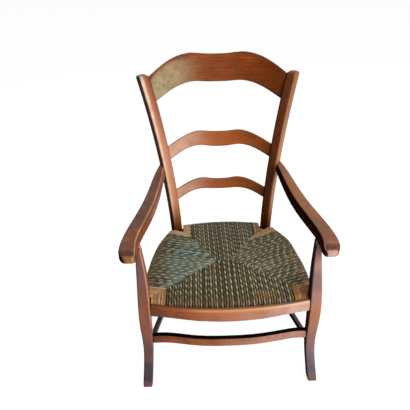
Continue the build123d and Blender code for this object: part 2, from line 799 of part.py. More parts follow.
back_tenon_height = back_stretcher_height - 2 * tenon_shoulder
slats = {
    "crest_rail": back_slat(crest_top, crest_bottom, crest_bow, crest_top_wave, crest_bottom_wave),
    "middle_slat": back_slat(middle_top, middle_bottom, middle_bow, middle_top_wave, middle_bottom_wave),
    "lower_slat": back_slat(lower_top, lower_bottom, lower_bow, lower_top_wave, lower_bottom_wave),
}

os.makedirs("parts", exist_ok=True)


def save(name, solid):
    """Write one named piece."""
    export_step(solid, f"parts/{name}.step")


def save_pair(name, solid):
    """Write a right hand piece and its left hand twin."""
    save(f"{name}_right", solid)
    save(f"{name}_left", mirrored(solid))


for slat_name, (slat, mortise) in slats.items():
    save(slat_name, slat)
save_pair("back_post", finished_post())
save_pair("arm", finished_arm())
save_pair("front_leg", finished_leg())

legs = both_sides(leg_blank())
posts = both_sides(post_blank())
apron = fillet(long_edges(apron_blank(), leg_inner), edge_round) - legs
save("front_apron", apron + both_sides(apron_tenon(0)))
front_stretcher = fillet(long_edges(front_stretcher_blank(), leg_inner), edge_round) - legs
save("front_stretcher", front_stretcher + both_sides(front_stretcher_tenon(0)))
side_stretcher = largest(side_stretcher_blank() - legs - posts)
save_pair("side_stretcher", side_stretcher + side_stretcher_tenon(0))
back_bar = back_stretcher_bar(back_stretcher_width, back_stretcher_height, 0)
back_bar = fillet(long_edges(back_bar, post_inner), edge_round)
save("back_stretcher", back_bar + back_stretcher_bar(tenon_thickness, back_tenon_height, tenon_length))

save("seat_rail_front", largest(front_rail() - legs) + both_sides(front_rail_tenon(0)))
save("seat_rail_back", back_rail() + back_rail_tenons(0))
side_rail_body = largest(side_rail() - legs - posts)
save_pair("seat_rail", side_rail_body + list(side_rail_tenons(0)))

loaf = rush_loaf()
front_zone = straw_box_front()
back_zone = straw_box_back()
save("rush_seat", largest(loaf - both_sides(front_zone) - both_sides(back_zone)))
save_pair("straw_corner_front", largest(loaf & front_zone))
save_pair("straw_corner_back", largest(loaf & back_zone))
save("seat_filling", filling_solid(soft_clearance))
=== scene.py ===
import math

import bpy
import numpy as np
from mathutils import Matrix, Vector


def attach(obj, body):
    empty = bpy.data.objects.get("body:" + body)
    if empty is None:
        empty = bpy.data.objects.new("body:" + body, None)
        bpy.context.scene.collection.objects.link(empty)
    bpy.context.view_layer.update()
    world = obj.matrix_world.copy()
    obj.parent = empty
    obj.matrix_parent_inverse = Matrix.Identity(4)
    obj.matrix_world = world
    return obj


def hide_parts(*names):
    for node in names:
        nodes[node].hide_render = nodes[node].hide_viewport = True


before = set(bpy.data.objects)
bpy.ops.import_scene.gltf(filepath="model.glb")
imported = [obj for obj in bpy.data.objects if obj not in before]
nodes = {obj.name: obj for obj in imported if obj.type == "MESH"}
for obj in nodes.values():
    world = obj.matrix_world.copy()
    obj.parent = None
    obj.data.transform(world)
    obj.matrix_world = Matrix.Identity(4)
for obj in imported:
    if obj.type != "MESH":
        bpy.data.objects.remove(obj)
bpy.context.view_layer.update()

# Camera, in metres and degrees: it stands a little left of the chair, looks down and is tipped slightly
camera_place = (-0.10197, -1.5541, 1.2700)
camera_turn = -1.41
camera_pitch = -27.85
camera_roll = 1.12
camera_lens = 47.49
camera_shift = (0.00366, -0.00268)

# Stage: a floor that looks white to the camera but keeps the shadow, and a weak light from all around
floor_reach = 12.0
floor_tint = (0.8, 0.8, 0.79, 1)
floor_shown_tint = (0.34, 0.34, 0.34, 1)
floor_glow = 0.93
fill_tint = (1.0, 0.98, 0.96, 1)
fill_strength = 0.14
white = (1, 1, 1, 1)

# Rush seat, in metres: crown of the seat and the four edges of its plan
seat_middle_y = -0.1085
seat_crown = 0.3160
seat_crown_radius = 2.4
seat_underside = 0.251
front_edge_half = 0.231
front_edge_y = -0.3042
front_edge_bow = 0.030
back_edge_half = 0.1432
back_edge_y = 0.1310
back_edge_bow = 0.015
side_edge_points = ((0.1775, 0.1035), (0.2375, -0.0851), (0.2488, -0.2767))

# The wound sides, left -1 and right 1, stand out this much more behind their middle
side_swell = {-1: 0.003, 1: 0.010}
side_swell_y = 0.012
side_swell_reach = 0.065

# Cords of the front and back turn this share of the way square to their edge, and side cords run forwards by
# these degrees, at the front and at the back
end_fan = 0.15
side_lean = {-1: (14.0, 26.0), 1: (22.0, 34.0)}

# Seams between the four woven sections, with the middle one last in each section's list
corner_front = (0.2285, -0.2835)
corner_back = (0.1470, 0.0970)
apex_left = (-0.0310, -0.1325)
apex_right = (0.0140, -0.1235)
first_seam = 0
middle_seam = 2
seam_slack = 0.02            # a cord may meet a seam this share of its length beyond its ends

# Rush cord
cord_pitch = 0.0075
cord_radius = 0.0040
cord_wander = 0.0007         # cords stray sideways by about this much
wander_rise = 0.6            # and up and down by this share of it
twist_pitch = 0.029          # length in which one ply comes round once
ply_relief = 0.13            # share of the radius lost in the groove between the plies
sheet_sink = 0.0012          # the sheet that closes the gaps lies this far below the centre lines
seam_dive = 0.0035           # cords sink by this much at a seam
seam_reach = 0.0025          # and run on under the crossing cords
seam_sheen_reach = 0.030            # cords of the left section get a pale painted sheen this close to their front seam
edge_round_top = 0.014
edge_round_low = 0.010
front_end_gap = 0.6          # first and last cord lie this many pitches inside the ends of the edge
back_end_gap = 1.3
dash_length = 0.29           # half of a pale dash along the cord, as a share of the twist pitch
dash_width = 0.078           # half of a pale dash round the cord, as a share of the round
dash_slant = 0.35
# Share of each section's cords under a teal painted sheen
section_sheen_teal = {"left": 0.95, "right": 0.2, "front": 0.12, "back": 0.2}

# Points on a cord: round it, on the seat, in each of its two bends, down the side and below the seat
points_round = 10
points_top = 84
points_bend = 12
points_side = 6
points_low = 40

# Natural straw: where it starts on the rails, its strands, and its rise before the left and right post
straw_front_x = 0.188
straw_front_y = -0.2320
straw_back_x = 0.111
straw_back_y = 0.072
straw_times = 2              # strands lie this many times closer than rush cords
straw_thickness = 0.58
straw_heap = {-1: 0.005, 1: 0.011}
straw_heap_place = (0.157, 0.080)
straw_heap_reach = 0.018
straw_paleness = {"front_left": 0.5, "front_right": 0.15, "back_left": 0.85, "back_right": 0.35}
straw_side_paleness = 0.15   # strands over the side rails are paler by this, the others darker

# Places on the wood that its wear, its painted highlights and its painted shade follow, in metres; a pair is
# a soft step from the first to the second
post_across = (0.848, -0.530)        # direction across the face of a post, for the right one
post_face_outer = 0.094              # outer corner of that face along it
post_corner_width = 0.009            # the right post's outer corner is rounded over this width
post_corner_round = 28.0             # and falls by this times the square of the way past its start
post_above_seat = (0.30, 0.41)
post_upper_half = (0.5, 0.75)
post_top = (0.785, 0.825)
crest_above_slats = (0.68, 0.72)
crest_edge = (0.8575, 0.46, -28.8)   # upper edge of the crest as a sum of powers 0, 2 and 4 of x
crest_rim = (0.006, 0.022)           # the painted sheen starts this far below that edge
crest_sheen_reach = (0.045, 0.165)      # the painted sheen grows this far left of the middle
slat_sheen_reach = (0.01, 0.15)
slat_shaded = (0.0, 0.2)            # and the painted shade, deep brown, this far right of it
arm_top_front = 0.463                # top of the arm where its end starts to roll
arm_top_y = -0.2615
arm_top_slope = 0.163
arm_behind_end = (-0.24, -0.1)
arm_band_start = (-0.302, -0.292)    # a band of painted shade crosses the arm before its rolled end
arm_band_end = (-0.286, -0.274)
arm_behind_lip = (-0.306, -0.297)
arm_cove_low = (-0.013, -0.010)      # painted shade in a cove runs this far below the arm's top
arm_cove_high = (-0.008, -0.005)
leg_above_knee = (0.24, 0.36)
leg_band_low = (0.31, 0.335)         # the right leg is darker between these heights
leg_band_high = (0.36, 0.39)
leg_edge_above = (0.2, 0.3)
leg_above_foot = (0.03, 0.22)
leg_gloss_above = (0.05, 0.2)
foot_soot_low = (0.01, 0.03)
foot_soot_high = (0.045, 0.075)
toe_top = (0.012, 0.024)
apron_above_stretcher = (0.2, 0.24)
apron_upper_edge = (0.279, 0.287)
front_right_end = (0.1, 0.2)
front_left_corner = (0.16, 0.228)    # left of the middle

# Bow of the slats and of the front bars, as the factor of x squared, which their grain follows
slat_bow = 1.0
front_bow = -0.56

# Grain runs along the chosen axis: across it the coordinates keep their size, along it they shrink
along_grain = {"X": (0.05, 1, 1), "Y": (1, 0.05, 1), "Z": (1, 1, 0.05)}

# Wooden nodes whose edges are rubbed round, by material slot, and those below the seat, by their finish
rubbed_nodes = {
    "wood_frame": ("back_post_left", "back_post_right"),
    "wood_slats": ("crest_rail", "middle_slat", "lower_slat"),
    "wood_arms": ("arm_left", "arm_right"),
    "wood_legs": ("front_leg_left", "front_leg_right"),
    "wood_front": ("front_apron", "front_stretcher"),
}
under_nodes = {
    "wood_under_side": ("side_stretcher_left", "side_stretcher_right", "seat_rail_left", "seat_rail_right"),
    "wood_under_cross": ("back_stretcher", "seat_rail_front", "seat_rail_back"),
}
rub_weld = 0.00001
rub_voxel = 0.0022
rub_strength = 0.5
rub_passes = 8

# Reflection of waxed wood, rush and straw
wax_gloss = 0.3

rng = np.random.default_rng(7)


class Shade:
    """One output in a node tree; arithmetic on it adds Math nodes."""

    def __init__(self, tree, socket=None):
        self.tree = tree
        self.socket = socket

    def node(self, kind, settings=None, sockets=None, output=0):
        """Adds a node, sets it up, fills or links its sockets and returns one of its outputs."""
        node = self.tree.nodes.new(kind)
        for name, value in (settings or {}).items():
            setattr(node, name, value)
        for name, value in (sockets or {}).items():
            if isinstance(value, Shade):
                self.tree.links.new(value.socket, node.inputs[name])
            else:
                node.inputs[name].default_value = value
        return Shade(self.tree, node.outputs[output] if node.outputs else None)

    def math(self, operation, *values):
        return self.node("ShaderNodeMath", {"operation": operation}, dict(enumerate(values)))

    def __add__(self, other):
        return self.math("ADD", self, other)

    def __sub__(self, other):
        return self.math("SUBTRACT", self, other)

    def __rsub__(self, other):
        return self.math("SUBTRACT", other, self)

    def __mul__(self, other):
        return self.math("MULTIPLY", self, other)

    def __truediv__(self, other):
        return self.math("DIVIDE", self, other)

    __radd__ = __add__
    __rmul__ = __mul__

    def ramp(self, low, high):
        """0 below low, 1 above high, smooth between."""
        smooth = {"interpolation_type": "SMOOTHSTEP"}
        return self.node("ShaderNodeMapRange", smooth, {0: self, 1: low, 2: high})

    def mix(self, first, second):
        """Colour that goes from first to second as this value goes from 0 to 1."""
        return self.node("ShaderNodeMix", {"data_type": "RGBA"}, {0: self, 6: first, 7: second}, output=2)

    def mix_values(self, first, second):
        """First where this is 0, second where it is 1."""
        return first + (second - first) * self

    def part(self, axis):
        """One component of a vector."""
        return self.node("ShaderNodeSeparateXYZ", {}, {"Vector": self}, output=axis)


def colour(red, green, blue):
    """Linear colour from sRGB values of 0 to 255."""
    return tuple(((value / 255 + 0.055) / 1.055) ** 2.4 for value in (red, green, blue)) + (1.0,)


# Wood colours
# Painted shade: the near-black that shaded faces, recesses and the posts below the seat are darkened towards
shade_black = colour(22, 11, 7)
# Dark stain of the pores, also used as painted shade
dark_stain_and_shade = colour(46, 18, 6)
# Deep stain of the grain, also used as painted shade at the slats' right ends
deep_stain_and_shade = colour(94, 40, 8)
stain_mid = colour(138, 66, 16)
stain_warm = colour(182, 96, 30)
worn_grey = colour(64, 51, 46)
# Tan of worn arm tops, also used as a painted highlight
tan_wear_and_highlight = colour(178, 122, 74)
worn_front = colour(108, 70, 52)
# Painted highlights and sheen: pink and rose
highlight_pink = colour(218, 166, 138)
highlight_rose = colour(208, 172, 158)
# Painted sheen: mauve
sheen_mauve = colour(146, 114, 106)
worn_plum = colour(110, 81, 81)
# Painted sheen: olive, with grey spots
sheen_olive = colour(176, 162, 122)
sheen_spots = colour(120, 112, 84)
# Painted highlights: near-white, gold and peach
highlight_white = colour(255, 232, 212)
highlight_gold = colour(228, 152, 90)
highlight_peach = colour(210, 144, 104)
bare_toe = colour(112, 82, 76)
foot_grey = colour(93, 89, 107)
foot_slate = colour(76, 73, 84)
# Painted shade
shadow_black = colour(20, 14, 11)
dust = colour(88, 80, 71)

# Rush and straw colours
# Painted shade: the dark sheet below the cords
bed_shade_dark = colour(20, 17, 9)
bed_shade_light = colour(48, 42, 24)
# Painted shade in the grooves between cords
groove_shade_rush = colour(26, 23, 10)
rush_dark = colour(44, 40, 18)
rush_olive = colour(124, 115, 75)
# Painted sheen: teal and sage
sheen_teal_dark = colour(66, 84, 72)
sheen_teal = colour(140, 162, 146)
sheen_sage = colour(158, 168, 148)
rush_brown_dark = colour(78, 62, 38)
rush_brown = colour(136, 112, 78)
rush_pale = colour(228, 219, 184)
# Painted sheen: white
sheen_white = colour(240, 242, 228)
rush_orange = colour(204, 156, 104)
straw_light = colour(222, 184, 136)
straw_deep = colour(158, 108, 60)
# Painted shade in the grooves between strands
groove_shade_straw = colour(96, 62, 32)


def new_material(name):
    """Empty material; returns it and a Shade to build with."""
    material = bpy.data.materials.new(name)
    material.use_nodes = True
    material.node_tree.nodes.clear()
    return material, Shade(material.node_tree)


def finish_material(shade, base, roughness, bump, bump_distance, gloss=0.5, dull=None):
    """Principled surface from a base colour, a roughness, a bump height and the strength of its reflection.

    Where `dull` is given, it is the share of a surface without any gloss.
    """
    normal = shade.node("ShaderNodeBump", {}, {"Strength": 1.0, "Distance": bump_distance, "Height": bump})
    sockets = {"Base Color": base, "Roughness": roughness, "Normal": normal, "Specular IOR Level": gloss}
    surface = shade.node("ShaderNodeBsdfPrincipled", {}, sockets)
    if dull is not None:
        sockets["Specular IOR Level"] = 0.0
        matt = shade.node("ShaderNodeBsdfPrincipled", {}, sockets)
        surface = shade.node("ShaderNodeMixShader", {}, {0: dull, 1: surface, 2: matt})
    shade.node("ShaderNodeOutputMaterial", {}, {"Surface": surface})


def object_place(shade):
    """Place on the object, in metres."""
    return shade.node("ShaderNodeTexCoord", output="Object")


def stretched(shade, place, stretch):
    """Coordinates with a scale of their own along each axis."""
    return shade.node("ShaderNodeMapping", {"vector_type": "POINT"}, {"Vector": place, "Scale": stretch})


def noise(shade, place, scale, detail, roughness):
    """Random values of about 0 to 1 that vary smoothly in space."""
    sockets = {"Vector": place, "Scale": scale, "Detail": detail, "Roughness": roughness}
    return shade.node("ShaderNodeTexNoise", {}, sockets)


def paint(node, material):
    """Gives a node one material."""
    nodes[node].data.materials.clear()
    nodes[node].data.materials.append(material)


class Wood:
    """What a pattern of wear and painted light may read: the shade, the place on the object and the parts of
    its normal.
    """

    def __init__(self, shade):
        self.shade = shade
        self.place = object_place(shade)
        self.x, self.y, self.z = (self.place.part(axis) for axis in "XYZ")
        self.aside = shade.math("ABSOLUTE", self.x)
        self.right_side = self.x.ramp(-0.02, 0.02)
        self.left_side = 1 - self.right_side
        normal = shade.node("ShaderNodeNewGeometry", output="Normal")
        self.rightward = normal.part("X")
        self.upward = normal.part("Z")

    def clouds(self, scale, low, high):
        """Soft patches: 0 outside them, 1 inside."""
        return noise(self.shade, self.place, scale, 4.0, 0.62).ramp(low, high)


def wood(name, axis, wear, bow=0.0):
    """Waxed, stained hardwood: long streaks, fine pores and cloudy tone, with the given pattern of wear and
    painted light.

    `bow` straightens the grain of a bar that is bent by bow * x squared. `wear` takes the Wood and the
    stained colour. It returns the colour with its wear and its painted highlights and shade, a height that
    rounds the surface and the share that has lost its gloss. Faces turned to the left, away from the main
    lamp, are painted dark as shade and lose their gloss.
    """
    material, shade = new_material(name)
    ground = Wood(shade)
    bent = ground.y + ground.x * ground.x * bow
    straight = shade.node("ShaderNodeCombineXYZ", {}, {"X": ground.x, "Y": bent, "Z": ground.z})
    grain_place = stretched(shade, straight, along_grain[axis])
    streaks = noise(shade, grain_place, 170.0, 4.0, 0.65)
    bands = noise(shade, grain_place, 45.0, 2.0, 0.5)
    pores = noise(shade, grain_place, 700.0, 2.0, 0.5).ramp(0.3, 0.5)
    clouds = noise(shade, ground.place, 14.0, 3.0, 0.6)
    depth = streaks * 0.7 + bands * 0.5 + clouds * 0.5 - 0.36
    stained = depth.ramp(0.2, 0.55).mix(deep_stain_and_shade, stain_mid)
    stained = depth.ramp(0.5, 0.8).mix(stained, stain_warm)
    stained = (pores * 0.65 + 0.35).mix(dark_stain_and_shade, stained)
    worn, rounding, lost_gloss = wear(ground, stained)
    # Painted shade: faces turned to the left, away from the main lamp, darken towards near-black
    shaded = (0 - ground.rightward).ramp(0.25, 0.75)
    base = (shaded * 0.8).mix(worn, shade_black)
    roughness = 0.28 + streaks * 0.16 + clouds * 0.12
    height = streaks * 0.0003 + pores * 0.0001 + clouds * 0.0004 + rounding
    dull = shade.math("MAXIMUM", shaded, lost_gloss)
    finish_material(shade, base, roughness, height, 1.0, wax_gloss, dull)
    return material


def posts_wear_and_light(ground, stained):
    """Left post with a painted highlight towards its outer corner; right post darkened as painted shade, with
    a narrow painted highlight on its outer corner; both painted darker below the seat as shade.
    """
    across = ground.aside * post_across[0] + ground.y * post_across[1]
    outwards = across.ramp(post_face_outer - 0.032, post_face_outer - 0.004)
    glint = across.ramp(post_face_outer - 0.012, post_face_outer - 0.003)
    narrow = across.ramp(post_face_outer - 0.004, post_face_outer)
    above_seat = ground.z.ramp(*post_above_seat)
    low = 1 - ground.z.ramp(*post_upper_half)
    below_top = 1 - ground.z.ramp(*post_top) * 0.7
    # Painted shade: the right post's face darkened
    deep = (ground.right_side * 0.34).mix(stained, dark_stain_and_shade)
    # Painted highlight: the left post pale towards its outer corner, with a near-white glint at the corner
    pale = low.mix_values(outwards * 0.45, outwards * 0.35 + 0.42)
    left = (pale * above_seat * ground.left_side * below_top).mix(deep, highlight_peach)
    often = (0.4 + 0.25 * ground.clouds(26.0, 0.4, 0.6)) * (1 - low * 0.35)
    bright = (glint * above_seat * ground.left_side * often * below_top).mix(left, highlight_white)
    # Painted highlight: a narrow tan light on the right post's outer corner
    highlighted = (narrow * above_seat * ground.right_side * (0.35 + 0.3 * low)).mix(bright, tan_wear_and_highlight)
    # Painted shade below the seat, deeper on the left post
    dark = ((1 - above_seat) * (0.5 - 0.3 * ground.right_side)).mix(highlighted, shade_black)
    past = ground.shade.math("MAXIMUM", across - (post_face_outer - post_corner_width), 0.0)
    rounding = past * past * ground.right_side * -post_corner_round
    return dark, rounding, 1 - above_seat


def slats_wear_and_light(ground, stained):
    """Left ends with a painted sheen, right ends darkened as painted shade, faces turned up darker."""
    crest = ground.z.ramp(*crest_above_slats)
    leftward = 0 - ground.x
    left = crest.mix_values(leftward.ramp(*slat_sheen_reach), leftward.ramp(*crest_sheen_reach))
    right = ground.x.ramp(*slat_shaded)
    square = ground.x * ground.x
    below_edge = crest_edge[0] + square * crest_edge[1] + square * square * crest_edge[2] - ground.z
    rim = crest * (1 - below_edge.ramp(*crest_rim))
    # Painted sheen on the left ends: olive with grey spots on the crest, pink on the lower slats
    spots = noise(ground.shade, ground.place, 95.0, 1.5, 0.5).ramp(0.48, 0.72)
    spotted = (spots * 0.55).mix(sheen_olive, sheen_spots)
    sheen = crest.mix(highlight_pink, spotted)
    ragged = ground.clouds(22.0, 0.3, 0.7) * 0.4 + 0.6
    glow = (1 - crest) * (1 - left) * (1 - right) * 0.5
    warmed = glow.mix(stained, stain_warm)
    sheened = (left * (1 - rim) * ragged * (0.82 + 0.1 * crest)).mix(warmed, sheen)
    # Painted shade: right ends deep brown, and the crest a little darker overall
    deep = (right * (0.3 + 0.25 * crest) + crest * 0.1).mix(sheened, deep_stain_and_shade)
    edge = ground.upward.ramp(0.72, 0.9) * 0.7
    return edge.mix(deep, dark_stain_and_shade), 0.0, right * 0.4 + crest * 0.3


def arms_wear_and_light(ground, stained):
    """Tops worn to grey on the left arm and to tan on the right; painted shade in a band before the rolled
    end, in the cove and on the outer sides; painted highlights on the lip and along the inner top edge.
    """
    mottle = ground.clouds(18.0, 0.35, 0.7)
    greyed = (ground.right_side * 0.6 + mottle * 0.3).mix(worn_grey, tan_wear_and_highlight)
    ends = (1 - ground.y.ramp(*arm_behind_end)) * 0.75
    greyed = ends.mix(greyed, worn_front)
    patches = noise(ground.shade, ground.place, 22.0, 4.0, 0.7)
    greyed = (patches.ramp(0.5, 0.62) * 0.5).mix(greyed, worn_plum)
    greyed = ((1 - patches.ramp(0.36, 0.46)) * 0.45).mix(greyed, tan_wear_and_highlight)
    streaked = (0.25 + 0.25 * mottle).mix(greyed, stained)
    top = ground.upward.ramp(0.75, 0.95)
    worn = top.mix(stained, streaked)
    # Painted shade: a dark band across the arm before its rolled end
    band = (1 - ground.y.ramp(*arm_band_end)) * ground.y.ramp(*arm_band_start)
    banded = (band * 0.7).mix(worn, dark_stain_and_shade)
    # Painted shade in the cove below the arm's top
    level = ground.z - arm_top_front - (ground.y - arm_top_y) * arm_top_slope
    cove = level.ramp(*arm_cove_low) * (1 - level.ramp(*arm_cove_high)) * (1 - top)
    coved = (cove * 0.8).mix(banded, shade_black)
    inner = (ground.rightward * (1 - 2 * ground.right_side)).ramp(0.1, 0.4)
    outer = (ground.rightward * (2 * ground.right_side - 1)).ramp(0.1, 0.4)
    # Painted shade on the arms' outer sides
    darkened = (outer * 0.6).mix(coved, dark_stain_and_shade)
    # Painted highlight on the lip of the rolled end: tan on the left arm, rose on the right
    lip = 1 - ground.y.ramp(*arm_behind_lip)
    lipped = (lip * 0.6).mix(darkened, ground.right_side.mix(tan_wear_and_highlight, highlight_rose))
    # Painted highlight along the inner top edge
    edge = inner * ground.upward.ramp(0.35, 0.6) * (1 - ground.upward.ramp(0.88, 0.97))
    return (edge * (0.2 + 0.4 * mottle)).mix(lipped, highlight_pink), 0.0, outer * 0.7


def legs_wear_and_light(ground, stained):
    """Above the seat a painted sheen of pale mauve on the right leg and plum on the left, a painted highlight
    on the left leg's inner front edge; stained at the knee, worn to grey below the stretcher, with bare toes.
    """
    ragged = ground.clouds(20.0, 0.25, 0.75) * 0.08 - 0.04
    height = ground.z + ragged
    # Painted sheen above the knee: pink over the stain, pale mauve on the right leg; the left leg goes plum
    pale = height.ramp(*leg_above_knee) * 0.75 * (1 - ground.rightward.ramp(0.4, 0.7))
    highlighted = (0.08 + 0.2 * ground.right_side).mix(stained, highlight_pink)
    upper = pale.mix(highlighted, ground.right_side.mix(worn_plum, sheen_mauve))
    band = ground.z.ramp(*leg_band_low) * (1 - ground.z.ramp(*leg_band_high)) * ground.right_side
    upper = (band * 0.7).mix(upper, worn_plum)
    # Painted highlight on the left leg's inner front edge
    edge = ground.rightward.ramp(0.2, 0.4) * (1 - ground.rightward.ramp(0.65, 0.85))
    upper = (edge * ground.left_side * height.ramp(*leg_edge_above) * 0.6).mix(upper, highlight_pink)
    foot = ground.right_side.mix(foot_slate, foot_grey)
    greyed = ((1 - height.ramp(*leg_above_foot)) * 0.95).mix(upper, foot)
    sooty = (1 - height.ramp(*foot_soot_high)) * height.ramp(*foot_soot_low) * 0.25
    dirty = sooty.mix(greyed, dark_stain_and_shade)
    toes = 1 - (ground.z + ragged * 0.2).ramp(*toe_top)
    return toes.mix(dirty, bare_toe), 0.0, (1 - height.ramp(*leg_gloss_above)) * 0.6


def front_wear_and_light(ground, stained):
    """Apron and front stretcher: a painted sheen growing to the right, painted shade at the left end, a
    painted highlight along the apron's upper edge and painted shade on its top face; the stretcher's top is
    painted dark as shade.
    """
    apron = ground.z.ramp(*apron_above_stretcher)
    right_end = ground.x.ramp(*front_right_end)
    middle = ground.x.ramp(-0.16, -0.06) * (1 - ground.x.ramp(0.02, 0.12))
    warmed = (middle * apron * 0.45).mix(stained, stain_warm)
    mottle = ground.clouds(30.0, 0.3, 0.7) * 0.3 + 0.7
    # Painted sheen, rose and pink, growing to the right
    much = 0.42 + apron * (0.1 + 0.28 * right_end)
    rosy = ground.x.ramp(-0.1, 0.15).mix(highlight_pink, highlight_rose)
    sheened = (ground.x.ramp(-0.2, 0.2) * mottle * much).mix(warmed, rosy)
    # Painted shade at the left end
    corner = (0 - ground.x).ramp(*front_left_corner) * 0.45
    dark = corner.mix(sheened, dark_stain_and_shade)
    # Painted highlight along the apron's rounded upper edge, gold to the left and pink to the right
    upper_edge = ground.z.ramp(*apron_upper_edge) * (1 - ground.upward.ramp(0.7, 0.9))
    light_edge = upper_edge * ground.x.ramp(-0.18, -0.06) * 0.65
    highlighted = light_edge.mix(dark, right_end.mix(highlight_gold, highlight_pink))
    # Painted shade on the apron's top face, deeper to the right
    back_edge = ground.upward.ramp(0.85, 0.97) * apron * (0.4 + 0.3 * right_end)
    shadowed = back_edge.mix(highlighted, dark_stain_and_shade)
    # Painted shade on the stretcher's top face, which also loses its gloss
    top_shade = ground.upward.ramp(0.5, 0.8) * (1 - apron)
    return top_shade.mix(shadowed, shadow_black), 0.0, top_shade


def wear_under(ground, stained):
    """Bars below the seat, dull and dusty."""
    cover = ground.clouds(18.0, 0.35, 0.7) * 0.25
    return cover.mix(dust, stained), 0.0, 0.7


def paint_wood():
    """Gives every wooden piece its grain, its wear and its painted light and shade, and rubs the edges of
    those in plain sight.
    """
    finishes = {
        "wood_frame": wood("wood_frame", "Z", posts_wear_and_light),
        "wood_slats": wood("wood_slats", "X", slats_wear_and_light, slat_bow),
        "wood_arms": wood("wood_arms", "Y", arms_wear_and_light),
        "wood_legs": wood("wood_legs", "Z", legs_wear_and_light),
        "wood_front": wood("wood_front", "X", front_wear_and_light, front_bow),
        "wood_under_side": wood("wood_under_side", "Y", wear_under),
        "wood_under_cross": wood("wood_under_cross", "X", wear_under),
    }
    for finish, names in {**rubbed_nodes, **under_nodes}.items():
        for node in names:
            paint(node, finishes[finish])
    for slot, names in rubbed_nodes.items():
        for node in names:
            worn_copy(node, finishes[slot])


def worn_copy(node, material):
    """Copy of a wooden node with every edge rubbed round: merged, remeshed finely and smoothed."""
    piece = bpy.data.objects.new(f"{node}_worn", nodes[node].data.copy())
    bpy.context.scene.collection.objects.link(piece)
    weld = piece.modifiers.new("weld", "WELD")
    weld.merge_threshold = rub_weld
    remesh = piece.modifiers.new("remesh", "REMESH")
    remesh.mode = "VOXEL"
    remesh.voxel_size = rub_voxel
    smooth = piece.modifiers.new("smooth", "SMOOTH")
    smooth.factor = rub_strength
    smooth.iterations = rub_passes
    mesh = bpy.data.meshes.new_from_object(piece.evaluated_get(bpy.context.evaluated_depsgraph_get()))
    mesh.name = piece.name
    mesh.polygons.foreach_set("use_smooth", np.ones(len(mesh.polygons), bool))
    mesh.materials.clear()
    mesh.materials.append(material)
    piece.modifiers.clear()
    piece.data = mesh
    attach(piece, "root")
    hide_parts(node)


def cord_place(shade):
    """Place on a cord: turns of its twist along it, and share of the round across it."""
    return shade.node("ShaderNodeUVMap", {"uv_map": "cord"})


def cord_top(where):
    """Distance from the line along a cord's top, a quarter round from its side, as a share of the round."""
    return where.part("Y") - 0.25


def cord_groove(shade, where):
    """1 in the grooves beside a cord, 0 on its top."""
    return shade.math("ABSOLUTE", cord_top(where)).ramp(0.075, 0.165)


def cord_dash(shade, where):
    """1 on the dash where a cord's pale ply crosses its top: an ellipse that slants with the twist.

    The ply is on top a quarter turn after each full one, and `past` counts the turns from there, -0.5 to 0.5.
    """
    past = shade.math("FRACT", where.part("X") + 0.25) - 0.5
    lengthwise = past / dash_length
    crosswise = (cord_top(where) - past * dash_slant) / dash_width
    return 1 - (lengthwise * lengthwise + crosswise * crosswise).ramp(0.55, 1.15)


def cord_value(shade, name):
    """A number stored on the cords."""
    return shade.node("ShaderNodeAttribute", {"attribute_name": name}, output="Fac")


def frayed_patch(place, inset):
    """1 on one frayed patch at the front, right of the middle."""
    x = place.part("X")
    within = x.ramp(0.07, 0.09) * (1 - x.ramp(0.12, 0.14))
    at_front = 1 - place.part("Y").ramp(-0.24, -0.2)
    near_edge = inset.ramp(0.01, 0.02) * (1 - inset.ramp(0.035, 0.055))
    return within * at_front * near_edge


def rush():
    """Two-ply rush with an olive dye: dark olive cords, some with one pale ply that shows as slanting dashes.

    A teal painted sheen lies over the left section and in patches elsewhere, sage by the left section's front
    seam, where its dashes are whiter; the grooves beside each cord are painted shade.
    """
    material, shade = new_material("rush_cord")
    place = object_place(shade)
    where = cord_place(shade)
    inset = cord_value(shade, "inset")
    dashed = cord_value(shade, "dashed")
    teal = cord_value(shade, "tint")
    fibres = noise(shade, stretched(shade, where, (3.0, 26.0, 1.0)), 4.0, 3.0, 0.6)
    clouds = noise(shade, place, 16.0, 3.0, 0.6)
    tone = cord_value(shade, "tone") * 0.4 + dashed * 0.35 + fibres * 0.6 + clouds * 0.4 - 0.38
    tone = tone.ramp(0.1, 0.9)
    cord_colour = tone.mix(rush_dark, rush_olive)
    # Painted sheen: a teal tint, strong over the left section and in patches elsewhere, away from the rim
    patches = noise(shade, place, 9.0, 3.0, 0.6).ramp(0.38, 0.6)
    green = teal * inset.ramp(0.035, 0.1) * (0.35 + 0.65 * patches) + clouds.ramp(0.54, 0.7) * 0.3
    cord_colour = green.mix(cord_colour, tone.mix(sheen_teal_dark, sheen_teal))
    # Painted sheen, sage, on the left section by its front seam
    teal_section = teal.ramp(0.5, 0.9) * 0.7
    cord_colour = (teal_section * cord_value(shade, "seam")).mix(cord_colour, sheen_sage)
    rim = (1 - inset.ramp(0.012, 0.05)) * 0.65
    cord_colour = rim.mix(cord_colour, tone.mix(rush_brown_dark, rush_brown))
    frayed = frayed_patch(place, inset)
    cord_colour = (frayed * 0.35).mix(cord_colour, rush_orange)
    faded = noise(shade, place, 20.0, 2.0, 0.5).ramp(0.55, 0.68) * 0.8
    pale = shade.math("MAXIMUM", faded, frayed).mix(rush_pale, rush_orange)
    # Whiter dashes under the painted sheen of the left section
    pale = teal_section.mix(pale, sheen_white)
    dash = cord_dash(shade, where) * dashed * fibres.ramp(0.2, 0.45) * (1 - rim * 1.05)
    marked = dash.mix(cord_colour, pale)
    # Painted shade in the grooves beside each cord
    base = (cord_groove(shade, where) * 0.93).mix(marked, groove_shade_rush)
    finish_material(shade, base, 0.5 + fibres * 0.2, fibres, 0.0006, wax_gloss)
    return material


